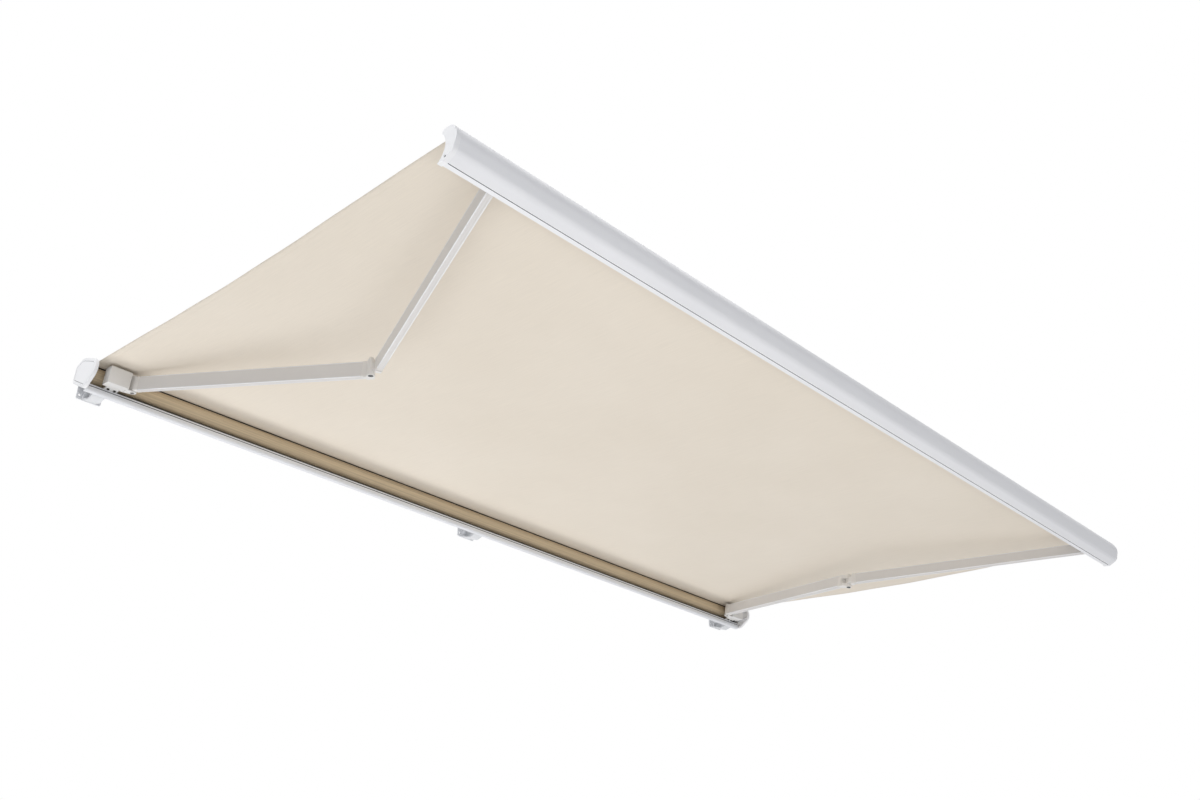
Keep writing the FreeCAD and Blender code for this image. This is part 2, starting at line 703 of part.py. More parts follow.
fork = fuse([
    in_pin_axes(fuse(fork_parts), elbow_closed),
    in_arm_axes(rear_stub, shoulder),
    in_arm_axes(rear_plug, shoulder),
])
fork = fork.cut(rod(elbow_closed, pin_axis, elbow_pin_radius + running_gap, -60, 60))
save_pair("elbow_fork", open_rear(fork))

fore_half_height = fore_height / 2 + collar
tongue_parts = [
    round_box(-knuckle_reach + 8, fore_far, fore_lift - fore_half_height, knuckle_reach - 8 - knuckle_clear,
              fore_near - fore_far, 2 * fore_half_height, arm_corner + 2.0),
    prism(tongue_outline, -tongue_half, tongue_half),
    rod(origin, z_axis, elbow_barrel_radius, -tongue_half, tongue_half),
]
fore_stub = collar_block(fore_width, fore_height, tube_end, stub_length, fore_side, fore_lift)
fore_plug = spigot(fore_width, fore_height, tube_end - spigot_length, tube_end + 1, fore_side, fore_lift)
tongue = fuse([
    in_pin_axes(fuse(tongue_parts), elbow_closed),
    in_arm_axes(fore_stub, shoulder),
    in_arm_axes(fore_plug, shoulder),
])
tongue = tongue.cut(rod(elbow_closed, pin_axis, elbow_pin_radius + running_gap, -60, 60))
cable_hole = rod(origin, x_axis, cable_radius + seat_gap, tube_end - spigot_length - 1, tube_end + 12)
cable_hole = in_arm_axes(cable_hole.translated(Vector(0, fore_side, 0)), shoulder)
tongue = tongue.cut(cable_hole)
save_pair("elbow_tongue", open_fore(tongue))

knob = fuse([
    rod(origin, z_axis, elbow_pin_radius, -elbow_half_height, elbow_half_height),
    rod(origin, z_axis, elbow_knob_radius, elbow_half_height, elbow_half_height + elbow_knob_height - 3.0),
    Part.makeCone(elbow_knob_radius, elbow_knob_radius - 4.0, 3.0,
                  Vector(0, 0, elbow_half_height + elbow_knob_height - 3.0), z_axis),
    rod(origin, z_axis, elbow_knob_radius - 1.0, -elbow_half_height - elbow_foot_height, -elbow_half_height),
])
knob_recess = 5.5
knob = knob.cut(rod(origin, z_axis, knob_recess, -elbow_half_height - elbow_foot_height - 1,
                    -elbow_half_height + knob_recess))
save_pair("elbow_pin", open_rear(in_pin_axes(knob, elbow_closed)))

# Forearms, with the tension spring and its cable inside
fore_tube = arm_tube(fore_width, fore_height, knuckle_reach, tube_end, fore_side, fore_lift)
save_pair("forearm_tube", open_fore(in_arm_axes(fore_tube, shoulder)))

eye_pinned = fuse([
    rod(origin, z_axis, front_eye_radius, -front_eye_height / 2, front_eye_height / 2),
    box(0, -front_eye_radius, -front_eye_height / 2, 34.0, 2 * front_eye_radius, front_eye_height),
])
eye_block = collar_block(fore_width, fore_height, 28.0, knuckle_reach - 28.0, fore_side, fore_lift)
eye_plug = spigot(fore_width, fore_height, knuckle_reach - 1, knuckle_reach + spigot_length, fore_side, fore_lift)
eye = fuse([
    in_pin_axes(eye_pinned, front_closed),
    in_arm_axes(eye_block, shoulder),
    in_arm_axes(eye_plug, shoulder),
])


def front_eye(bore):
    return open_fore(eye.cut(rod(front_closed, pin_axis, bore, -60, 60)))


save("forearm_eye_left", front_eye(front_pin_radius + running_gap))
save("forearm_eye_right", mirrored(front_eye(front_pin_radius + open_pivot_gap)))

spring_start = knuckle_reach + spigot_length + 150.0
spring_end = spring_start + spring_length
spring = rod(origin, x_axis, spring_radius, spring_start, spring_end)
spring = spring.cut(rod(origin, x_axis, spring_radius - spring_wire, spring_start + 6.0, spring_end - 6.0))
anchor = Part.makeCylinder(4.0, fore_width - 2 * arm_wall, Vector(spring_start - 4.0, -fore_width / 2 + arm_wall, 0),
                           Vector(0, 1, 0))
spring = fuse([spring, anchor]).translated(Vector(0, fore_side, 0))
save_pair("arm_spring", open_fore(in_arm_axes(spring, shoulder)))
cable = rod(origin, x_axis, cable_radius, spring_end, tube_end + 10.0).translated(Vector(0, fore_side, 0))
save_pair("arm_cable", open_fore(in_arm_axes(cable, shoulder)))


def rivets(side, top):
    """Blind rivet heads on an arm's upper face, two into each casting's spigot."""
    heads = []
    for place in (knuckle_reach + 20.0, knuckle_reach + 48.0, tube_end - 48.0, tube_end - 20.0):
        heads.append(Part.makeCone(4.0, 2.4, 1.6, Vector(place, side, top), z_axis))
    return Part.makeCompound(heads)


rear_rivets = rivets(0.0, rear_height / 2)
fore_rivets = rivets(fore_side, fore_lift + fore_height / 2)
save_pair("rear_arm_rivets", open_rear(in_arm_axes(rear_rivets, shoulder)))
save_pair("forearm_rivets", open_fore(in_arm_axes(fore_rivets, shoulder)))

# Front hinges inside the front bar
web_back = front_y + bar_web_y
ear_start = front_eye_height / 2 + seat_gap
ear_radius = front_eye_radius + 1.0
front_ears = []
for low in (ear_start, -ear_start - front_ear):
    front_ears.append(rod(origin, z_axis, ear_radius, low, low + front_ear))
    front_ears.append(box(-ear_radius, bar_web_y + 3, low, 2 * ear_radius, -bar_web_y - 3, front_ear))
front_ears = fuse(front_ears).cut(rod(origin, z_axis, front_pin_radius + running_gap, -60, 60))
base_width = 72.0
base_half = 34.0
base = box(shoulder_x - base_width / 2, web_back, front_z - base_half, base_width, 6.0, 2 * base_half)
joint = fuse([in_pin_axes(front_ears, front_open), base])
joint_trim = box(shoulder_x - 100, web_back - 50, front_z - 100, 200, 50 + seat_gap / 3, 200)
joint_room = along_x(long_wire.makeOffset2D(-bar_wall - seat_gap), -half_length, half_length)
joint = joint.cut(joint_trim).common(joint_room)
joint_screw_places = []
for shift in (-27.0, 27.0):
    for level in (-12.0, 22.0):
        joint_screw_places.append(Vector(shoulder_x + shift, web_back + 6.0, front_z + level))
joint_screws = []
for place in joint_screw_places:
    joint = joint.cut(rod(place, Vector(0, -1, 0), 2.5 + running_gap, -1.0, 7.0))
    joint_screws.append(hex_screw(place, Vector(0, -1, 0), 4.6, 3.0, 2.5, 5.5))
save_pair("front_joint", joint)
joint_screws = joint_screws + [mirrored(screw) for screw in joint_screws]
save("front_joint_screws", Part.makeCompound(joint_screws))
front_pin = fuse([
    rod(origin, z_axis, front_pin_radius, -ear_start - front_ear - 1.0, ear_start + front_ear),
    rod(origin, z_axis, front_pin_radius + 3.0, ear_start + front_ear, ear_start + front_ear + 2.5),
])
save_pair("front_pin", in_pin_axes(front_pin, front_open))

# Wall brackets
rear_low = Vector(0, cap_outline[3][0], cap_outline[3][1])
front_low = Vector(0, cap_outline[4][0], cap_outline[4][1])
under = (front_low - rear_low).normalize()
under_out = Vector(0, -under.z, under.y)
seat_line = rear_low + under_out * (seat_gap - cap_overhang)


def under_point(along, out=0.0):
    place = seat_line + under * along + under_out * out
    return (place.y, place.z)


plate_corners = [
    (-bracket_width / 2, bracket_bottom),
    (bracket_width / 2, bracket_bottom),
    (bracket_width / 2, bracket_top),
    (-bracket_width / 2, bracket_top),
]
plate = box(-bracket_width / 2, -bracket_plate, bracket_bottom, bracket_width, bracket_plate,
            bracket_top - bracket_bottom)
plate_edges = [edge for edge in plate.Edges if edge.Length < bracket_plate + 0.01]
plate = plate.makeFillet(8.0, plate_edges)
arm_corners = [
    under_point(24.0) + (0.0,),
    under_point(138.0) + (3.0,),
    under_point(138.0, bracket_nose) + (6.0,),
    (-86.0, bracket_bottom - 26.0, 22.0),
    (-bracket_plate + 1, bracket_bottom + 2, 0.0),
    (-bracket_plate + 1, under_point(24.0)[1], 0.0),
]
arm = along_x(rounded_wire(arm_corners), -bracket_rib_width / 2, bracket_rib_width)
arm_pocket = [
    under_point(34.0, 9.0) + (4.0,),
    under_point(112.0, 9.0) + (4.0,),
    (-84.0, bracket_bottom - 17.0, 12.0),
    (-bracket_plate - 7, bracket_bottom + 8, 4.0),
]
for pocket_x in (-bracket_rib_width / 2 - 1, 5.0):
    arm = arm.cut(along_x(rounded_wire(arm_pocket), pocket_x, bracket_rib_width / 2 - 4))
pad = box(-bracket_rib_width / 2, cap_outline[2][0] - cap_overhang + seat_gap, 24.0, bracket_rib_width,
          -bracket_plate + 1 - cap_outline[2][0] + cap_overhang - seat_gap, bracket_top - 28.0)
wall_bracket = fuse([plate, arm, pad])
for hole_x in (-bolt_spacing_x / 2, bolt_spacing_x / 2):
    for hole_z in (-bolt_spacing_z / 2, bolt_spacing_z / 2):
        hole = Part.makeCylinder(bolt_hole_radius, 40, Vector(hole_x, -20, hole_z), Vector(0, 1, 0))
        wall_bracket = wall_bracket.cut(hole)
for name, shift in (("left", -bracket_spacing), ("centre", 0.0), ("right", bracket_spacing)):
    save("wall_bracket_" + name, wall_bracket.translated(Vector(shift, 0, 0)))

clamp_corners = [
    under_point(96.0) + (2.0,),
    under_point(136.0) + (2.0,),
    under_point(136.0, 7.0) + (3.0,),
    under_point(96.0, 7.0) + (3.0,),
]
clamp = along_x(rounded_wire(clamp_corners), bracket_rib_width / 2 + seat_gap, clamp_width)
clamp_middle = seat_line + under * 116.0 + under_out * 7.0
clamp_middle.x = bracket_rib_width / 2 + seat_gap + clamp_width / 2
clamp_screw = hex_screw(clamp_middle, under_out * -1, 6.0, 4.0, 2.0, 0.01)
clamp_screw = clamp_screw.cut(rod(clamp_middle, under_out, 8.0, -2.0, 0.0))
arm_bolt_place = seat_line + under * 138.0 + under_out * 7.6
arm_bolt = rod(arm_bolt_place, under, 4.5, 0.0, 5.0)
arm_bolt = arm_bolt.cut(rod(arm_bolt_place, under, 2.2, 2.0, 6.0))
clamps = []
bolts = []
for shift in (-bracket_spacing, 0.0, bracket_spacing):
    clamps.append(clamp.translated(Vector(shift, 0, 0)))
    bolts.append(clamp_screw.translated(Vector(shift, 0, 0)))
    bolts.append(arm_bolt.translated(Vector(shift, 0, 0)))
save("bracket_clamps", Part.makeCompound(clamps))
save("bracket_bolts", Part.makeCompound(bolts))

print("hinge lean", round(math.degrees(pin_lean), 6), "fold angle", round(fold_angle, 6))
print("shoulder", shoulder, "elbow", elbow_open, "front", front_open)
print("axis", pin_axis)
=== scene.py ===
import json
import math

import bmesh
import bpy
import numpy as np
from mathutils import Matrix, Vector


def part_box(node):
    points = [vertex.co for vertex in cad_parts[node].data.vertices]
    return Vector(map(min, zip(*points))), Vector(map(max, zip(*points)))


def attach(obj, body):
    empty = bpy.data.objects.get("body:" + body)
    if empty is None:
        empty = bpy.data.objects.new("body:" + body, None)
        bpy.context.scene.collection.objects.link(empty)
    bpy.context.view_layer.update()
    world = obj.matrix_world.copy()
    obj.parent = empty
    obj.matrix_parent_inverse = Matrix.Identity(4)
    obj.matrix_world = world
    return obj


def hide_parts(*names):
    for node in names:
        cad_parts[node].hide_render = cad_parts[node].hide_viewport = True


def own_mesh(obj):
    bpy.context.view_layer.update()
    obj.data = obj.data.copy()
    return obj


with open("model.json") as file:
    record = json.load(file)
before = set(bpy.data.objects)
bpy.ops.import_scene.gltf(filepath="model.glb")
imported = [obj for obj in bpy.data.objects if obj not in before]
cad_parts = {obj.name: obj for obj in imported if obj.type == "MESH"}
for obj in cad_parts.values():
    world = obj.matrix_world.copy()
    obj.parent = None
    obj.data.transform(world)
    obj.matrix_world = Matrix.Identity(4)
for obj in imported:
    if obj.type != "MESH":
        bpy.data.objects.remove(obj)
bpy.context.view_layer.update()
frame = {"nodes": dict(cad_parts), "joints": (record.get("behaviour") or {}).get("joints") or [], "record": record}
print("frame loaded:", len(frame["nodes"]), "nodes")

cameraView = {
    "place": (-4.308, -5.396, -2.929),
    "yaw": 45.58,          # degrees from +Y towards +X
    "pitch": 29.35,        # degrees above the horizon
    "lens": 35.66,
    "sensor": 36.0,
    "reach": 200.0,
}

studio = {
    "floorHeight": -3.35,
    "floorSize": 60.0,
    "floorColour": (0.86, 0.86, 0.86),
    "floorRoughness": 0.9,
    "floorLift": 0.42,       # seen and mirrored floor only, so it puts no light on the awning
    "ambient": (0.93, 0.95, 1.0),
    "ambientStrength": 0.39,
    "lamps": {
        # name: (place, aim, width, depth, watts, colour); the low ones lie on the floor and shine upwards
        "floorGlow": ((0.0, -1.4, -3.3), (0.0, -1.4, 0.0), 16.0, 14.0, 250.0, (0.98, 0.99, 1.0)),
        "backLow": ((-1.2, 2.0, -3.3), (-1.2, 1.2, 0.0), 7.0, 3.0, 116.0, (1.0, 1.0, 1.0)),
        "frontLow": ((-2.5, -5.4, -3.3), (-2.4, -4.8, 0.0), 6.0, 2.4, 66.0, (1.0, 1.0, 1.0)),
        "leftHigh": ((-6.0, -1.3, 2.3), (-2.5, -1.4, -0.1), 4.0, 1.5, 100.0, (1.0, 1.0, 1.0)),
        "skyWide": ((0.0, -2.0, 5.0), (0.0, -1.5, 0.0), 8.0, 8.0, 120.0, (1.0, 1.0, 1.0)),
    },
}


def makeCamera(view):
    yaw, pitch = math.radians(view["yaw"]), math.radians(view["pitch"])
    look = Vector((math.sin(yaw) * math.cos(pitch), math.cos(yaw) * math.cos(pitch), math.sin(pitch)))
    data = bpy.data.cameras.new("photoCamera")
    data.lens = view["lens"]
    data.sensor_width = view["sensor"]
    data.clip_end = view["reach"]
    camera = bpy.data.objects.new("photoCamera", data)
    bpy.context.scene.collection.objects.link(camera)
    camera.location = view["place"]
    camera.rotation_euler = look.to_track_quat("-Z", "Y").to_euler()
    bpy.context.scene.camera = camera


def addLamp(name, place, aim, width, depth, watts, colour):
    data = bpy.data.lights.new(name, "AREA")
    data.shape = "RECTANGLE"
    data.size, data.size_y = width, depth
    data.energy = watts
    data.color = colour
    lamp = bpy.data.objects.new(name, data)
    bpy.context.scene.collection.objects.link(lamp)
    lamp.location = place
    lamp.rotation_euler = (Vector(aim) - Vector(place)).to_track_quat("-Z", "Y").to_euler()
    lamp.visible_camera = False


def link(tree, fromSocket, toSocket):
    tree.links.new(fromSocket, toSocket)


# One for rays that should meet a white background: seen, mirrored or looked through.
def whiteRays(tree):
    rays = tree.nodes.new("ShaderNodeLightPath")
    first = tree.nodes.new("ShaderNodeMath")
    first.operation = "MAXIMUM"
    second = tree.nodes.new("ShaderNodeMath")
    second.operation = "MAXIMUM"
    link(tree, rays.outputs["Is Camera Ray"], first.inputs[0])
    link(tree, rays.outputs["Is Glossy Ray"], first.inputs[1])
    link(tree, first.outputs[0], second.inputs[0])
    link(tree, rays.outputs["Is Transmission Ray"], second.inputs[1])
    return second.outputs[0]


def makeWorld(settings):
    world = bpy.data.worlds.new("whiteStudio")
    world.use_nodes = True
    bpy.context.scene.world = world
    tree = world.node_tree
    tree.nodes.clear()
    soft = tree.nodes.new("ShaderNodeBackground")
    soft.inputs["Color"].default_value = (*settings["ambient"], 1.0)
    soft.inputs["Strength"].default_value = settings["ambientStrength"]
    white = tree.nodes.new("ShaderNodeBackground")
    white.inputs["Color"].default_value = (1.0, 1.0, 1.0, 1.0)
    mix = tree.nodes.new("ShaderNodeMixShader")
    out = tree.nodes.new("ShaderNodeOutputWorld")
    link(tree, whiteRays(tree), mix.inputs["Fac"])
    link(tree, soft.outputs[0], mix.inputs[1])
    link(tree, white.outputs[0], mix.inputs[2])
    link(tree, mix.outputs[0], out.inputs["Surface"])


def makeFloor(settings):
    half = settings["floorSize"] / 2
    z = settings["floorHeight"]
    mesh = bpy.data.meshes.new("floor")
    mesh.from_pydata([(-half, -half, z), (half, -half, z), (half, half, z), (-half, half, z)], [], [(0, 1, 2, 3)])
    floor = bpy.data.objects.new("floor", mesh)
    bpy.context.scene.collection.objects.link(floor)
    material = bpy.data.materials.new("paleFloor")
    material.use_nodes = True
    tree = material.node_tree
    shader = tree.nodes["Principled BSDF"]
    shader.inputs["Base Color"].default_value = (*settings["floorColour"], 1.0)
    shader.inputs["Roughness"].default_value = settings["floorRoughness"]
    clear = tree.nodes.new("ShaderNodeBsdfTransparent")
    side = tree.nodes.new("ShaderNodeNewGeometry")
    mix = tree.nodes.new("ShaderNodeMixShader")
    out = tree.nodes["Material Output"]
    lift = tree.nodes.new("ShaderNodeEmission")
    strength = tree.nodes.new("ShaderNodeMath")
    strength.operation = "MULTIPLY"
    strength.inputs[1].default_value = settings["floorLift"]
    link(tree, whiteRays(tree), strength.inputs[0])
    link(tree, strength.outputs[0], lift.inputs["Strength"])
    both = tree.nodes.new("ShaderNodeAddShader")
    link(tree, shader.outputs[0], both.inputs[0])
    link(tree, lift.outputs[0], both.inputs[1])
    link(tree, side.outputs["Backfacing"], mix.inputs["Fac"])
    link(tree, both.outputs[0], mix.inputs[1])
    link(tree, clear.outputs[0], mix.inputs[2])
    link(tree, mix.outputs[0], out.inputs["Surface"])
    mesh.materials.append(material)


makeCamera(cameraView)
makeWorld(studio)
makeFloor(studio)
for lampName, lampValues in studio["lamps"].items():
    addLamp(lampName, *lampValues)
bpy.context.scene.view_settings.view_transform = "Standard"
print("studio ready")


def newGroup(name, inputs, outputs):
    group = bpy.data.node_groups.new(name, "ShaderNodeTree")
    for label, kind, value in inputs:
        socket = group.interface.new_socket(label, in_out="INPUT", socket_type=kind)
        if value is not None:
            socket.default_value = value
    for label, kind in outputs:
        group.interface.new_socket(label, in_out="OUTPUT", socket_type=kind)
    return group, group.nodes.new("NodeGroupInput"), group.nodes.new("NodeGroupOutput")


def mathNode(tree, operation, first, second=None):
    node = tree.nodes.new("ShaderNodeMath")
    node.operation = operation
    for index, value in enumerate((first, second)):
        if value is None:
            continue
        if isinstance(value, (int, float)):
            node.inputs[index].default_value = value
        else:
            link(tree, value, node.inputs[index])
    return node.outputs[0]


def noiseNode(tree, vector, scale, detail=2.0, roughness=0.5):
    node = tree.nodes.new("ShaderNodeTexNoise")
    link(tree, vector, node.inputs["Vector"])
    if isinstance(scale, (int, float)):
        node.inputs["Scale"].default_value = scale
    else:
        link(tree, scale, node.inputs["Scale"])
    node.inputs["Detail"].default_value = detail
    node.inputs["Roughness"].default_value = roughness
    return node.outputs["Fac"]


# Orange peel of a powder coat: fine noise for the height, slow noise for gloss and tone.
def coatGroup():
    group, entry, leave = newGroup(
        "powderCoat",
        [("Vector", "NodeSocketVector", None), ("Peel Scale", "NodeSocketFloat", 900.0),
         ("Cloud Scale", "NodeSocketFloat", 3.0), ("Dust", "NodeSocketFloat", 0.1)],
        [("Height", "NodeSocketFloat"), ("Cloud", "NodeSocketFloat"), ("Speck", "NodeSocketFloat")])
    peel = noiseNode(group, entry.outputs["Vector"], entry.outputs["Peel Scale"], 2.0, 0.5)
    cloud = noiseNode(group, entry.outputs["Vector"], entry.outputs["Cloud Scale"], 4.0, 0.55)
    speck = noiseNode(group, entry.outputs["Vector"], 60.0, 3.0, 0.7)
    speck = mathNode(group, "POWER", speck, 4.0)
    speck = mathNode(group, "MULTIPLY", speck, entry.outputs["Dust"])
    link(group, peel, leave.inputs["Height"])
    link(group, cloud, leave.inputs["Cloud"])
    link(group, speck, leave.inputs["Speck"])
    return group


# Lines left by an extrusion die or a lathe: noise squeezed across the drawing direction.
def drawnGroup():
    group, entry, leave = newGroup(
        "drawnLines",
        [("Vector", "NodeSocketVector", None), ("Stretch", "NodeSocketVector", (2.0, 900.0, 900.0))],
        [("Height", "NodeSocketFloat"), ("Tone", "NodeSocketFloat")])
    scaled = group.nodes.new("ShaderNodeVectorMath")
    scaled.operation = "MULTIPLY"
    link(group, entry.outputs["Vector"], scaled.inputs[0])
    link(group, entry.outputs["Stretch"], scaled.inputs[1])
    lines = noiseNode(group, scaled.outputs[0], 1.0, 3.0, 0.6)
    wide = group.nodes.new("ShaderNodeVectorMath")
    wide.operation = "SCALE"
    link(group, scaled.outputs[0], wide.inputs[0])
    wide.inputs["Scale"].default_value = 0.12
    tone = noiseNode(group, wide.outputs[0], 1.0, 2.0, 0.5)
    link(group, lines, leave.inputs["Height"])
    link(group, tone, leave.inputs["Tone"])
    return group


# Plain weave: warp and weft ridges are cosine waves that take turns on top, cell by cell.
def weaveGroup():
    group, entry, leave = newGroup(
        "plainWeave",
        [("Vector", "NodeSocketVector", None), ("Threads", "NodeSocketFloat", 700.0),
         ("Slub", "NodeSocketVector", (260.0, 6.0, 1.0))],
        [("Height", "NodeSocketFloat"), ("Thread Tone", "NodeSocketFloat"), ("Cloud", "NodeSocketFloat")])
    split = group.nodes.new("ShaderNodeSeparateXYZ")
    scaled = group.nodes.new("ShaderNodeVectorMath")
    scaled.operation = "SCALE"
    link(group, entry.outputs["Vector"], scaled.inputs[0])
    link(group, entry.outputs["Threads"], scaled.inputs["Scale"])
    link(group, scaled.outputs[0], split.inputs[0])
    across = mathNode(group, "MULTIPLY", split.outputs[0], math.pi)
    along = mathNode(group, "MULTIPLY", split.outputs[1], math.pi)
    warp = mathNode(group, "ABSOLUTE", mathNode(group, "SINE", across))
    weft = mathNode(group, "ABSOLUTE", mathNode(group, "SINE", along))
    cell = mathNode(group, "MULTIPLY", mathNode(group, "SINE", across), mathNode(group, "SINE", along))
    over = mathNode(group, "GREATER_THAN", cell, 0.0)
    mix = group.nodes.new("ShaderNodeMix")
    link(group, over, mix.inputs["Factor"])
    link(group, warp, mix.inputs["A"])
    link(group, weft, mix.inputs["B"])
    slub = group.nodes.new("ShaderNodeVectorMath")
    slub.operation = "MULTIPLY"
    link(group, entry.outputs["Vector"], slub.inputs[0])
    link(group, entry.outputs["Slub"], slub.inputs[1])
    tone = noiseNode(group, slub.outputs[0], 1.0, 2.0, 0.6)
    cloud = noiseNode(group, entry.outputs["Vector"], 1.3, 3.0, 0.5)
    link(group, mix.outputs["Result"], leave.inputs["Height"])
    link(group, tone, leave.inputs["Thread Tone"])
    link(group, cloud, leave.inputs["Cloud"])
    return group


coat, drawn, weave = coatGroup(), drawnGroup(), weaveGroup()


def placeGroup(tree, group, vector, values):
    node = tree.nodes.new("ShaderNodeGroup")
    node.node_tree = group
    link(tree, vector, node.inputs["Vector"])
    for label, value in values.items():
        node.inputs[label].default_value = value
    return node


noiseRange = (0.3, 0.7)       # most of a noise texture's values lie between these
dustTone = 0.55               # specks of dust against the paint
lineTone = 0.72               # drawn lines against the bare metal
clothCloud = (0.965, 0.96, 0.95)
clothRoughness = (0.82, 0.95)


# Factor between low and high runs through the two colours.
def ramp(tree, factor, low, high, colours):
    node = tree.nodes.new("ShaderNodeMapRange")
    node.inputs["From Min"].default_value = low
    node.inputs["From Max"].default_value = high
    link(tree, factor, node.inputs["Value"])
    mix = tree.nodes.new("ShaderNodeMix")
    mix.data_type = "RGBA"
    link(tree, node.outputs["Result"], mix.inputs["Factor"])
    mix.inputs["A"].default_value = (*colours[0], 1.0)
    mix.inputs["B"].default_value = (*colours[1], 1.0)
    return mix.outputs["Result"]


def spread(tree, factor, low, high):
    node = tree.nodes.new("ShaderNodeMapRange")
    node.inputs["From Min"].default_value, node.inputs["From Max"].default_value = noiseRange
    node.inputs["To Min"].default_value = low
    node.inputs["To Max"].default_value = high
    link(tree, factor, node.inputs["Value"])
    return node.outputs["Result"]


def bump(tree, height, distance):
    node = tree.nodes.new("ShaderNodeBump")
    node.inputs["Distance"].default_value = distance
    node.inputs["Strength"].default_value = 1.0
    link(tree, height, node.inputs["Height"])
    return node.outputs["Normal"]


# Screen colour, 0 to 255, as the linear value that a shader takes.
def linear(colour):
    values = []
    for part in colour:
        share = part / 255.0
        values.append(share / 12.92 if share <= 0.04045 else ((share + 0.055) / 1.055) ** 2.4)
    return tuple(values)


def shade(colour, factor):
    return tuple(min(1.0, part * factor) for part in colour)


def startMaterial(name):
    material = bpy.data.materials.new(name)
    material.use_nodes = True
    tree = material.node_tree
    place = tree.nodes.new("ShaderNodeTexCoord")
    return material, tree, tree.nodes["Principled BSDF"], place


# Powder coat or grained plastic: base tone with clouds, specks of dust and orange peel.
def paintedMaterial(name, look):
    material, tree, shader, place = startMaterial(name)
    base = linear(look["colour"])
    peel = placeGroup(tree, coat, place.outputs["Object"],
                      {"Peel Scale": look["peelScale"], "Cloud Scale": look["cloudScale"], "Dust": look["dust"]})
    tone = ramp(tree, peel.outputs["Cloud"], *noiseRange, (shade(base, 1.0 - look["toneSpread"]), base))
    dusty = tree.nodes.new("ShaderNodeMix")
    dusty.data_type = "RGBA"
    link(tree, peel.outputs["Speck"], dusty.inputs["Factor"])
    link(tree, tone, dusty.inputs["A"])
    dusty.inputs["B"].default_value = (*shade(base, dustTone), 1.0)
    link(tree, dusty.outputs["Result"], shader.inputs["Base Color"])
    link(tree, spread(tree, peel.outputs["Cloud"], look["gloss"] - 0.05, look["gloss"] + 0.05),
         shader.inputs["Roughness"])
    link(tree, bump(tree, peel.outputs["Height"], look["depth"]), shader.inputs["Normal"])
    return material


# Bare or oiled metal with fine lines along one direction.
def drawnMaterial(name, look):
    material, tree, shader, place = startMaterial(name)
    base = linear(look["colour"])
    lines = placeGroup(tree, drawn, place.outputs["Object"], {"Stretch": look["stretch"]})
    tone = ramp(tree, lines.outputs["Tone"], *noiseRange, (shade(base, lineTone), base))
    link(tree, tone, shader.inputs["Base Color"])
    link(tree, spread(tree, lines.outputs["Tone"], look["gloss"] - 0.08, look["gloss"] + 0.08),
         shader.inputs["Roughness"])
    link(tree, bump(tree, lines.outputs["Height"], look["depth"]), shader.inputs["Normal"])
    shader.inputs["Metallic"].default_value = look["metal"]
    return material


# Woven acrylic: plain weave height, thread tones along the warp and slow clouds, with a soft sheen.
def clothMaterial(name, look):
    material, tree, shader, place = startMaterial(name)
    base = linear(look["colour"])
    threads = placeGroup(tree, weave, place.outputs["UV"], {"Threads": look["threads"], "Slub": look["slub"]})
    tone = ramp(tree, threads.outputs["Thread Tone"], 0.25, 0.75, (shade(base, 1.0 - look["toneSpread"]), base))
    clouds = tree.nodes.new("ShaderNodeMix")
    clouds.data_type = "RGBA"
    clouds.blend_type = "MULTIPLY"
    clouds.inputs["Factor"].default_value = 1.0
    link(tree, tone, clouds.inputs["A"])
    link(tree, ramp(tree, threads.outputs["Cloud"], *noiseRange, (clothCloud, (1.0, 1.0, 1.0))), clouds.inputs["B"])
    link(tree, clouds.outputs["Result"], shader.inputs["Base Color"])
    link(tree, spread(tree, threads.outputs["Thread Tone"], *clothRoughness), shader.inputs["Roughness"])
    link(tree, bump(tree, threads.outputs["Height"], look["depth"]), shader.inputs["Normal"])
    shader.inputs["Sheen Weight"].default_value = look["sheen"]
    shader.inputs["Sheen Roughness"].default_value = 0.5
    shader.inputs["Specular IOR Level"].default_value = 0.2
    return material


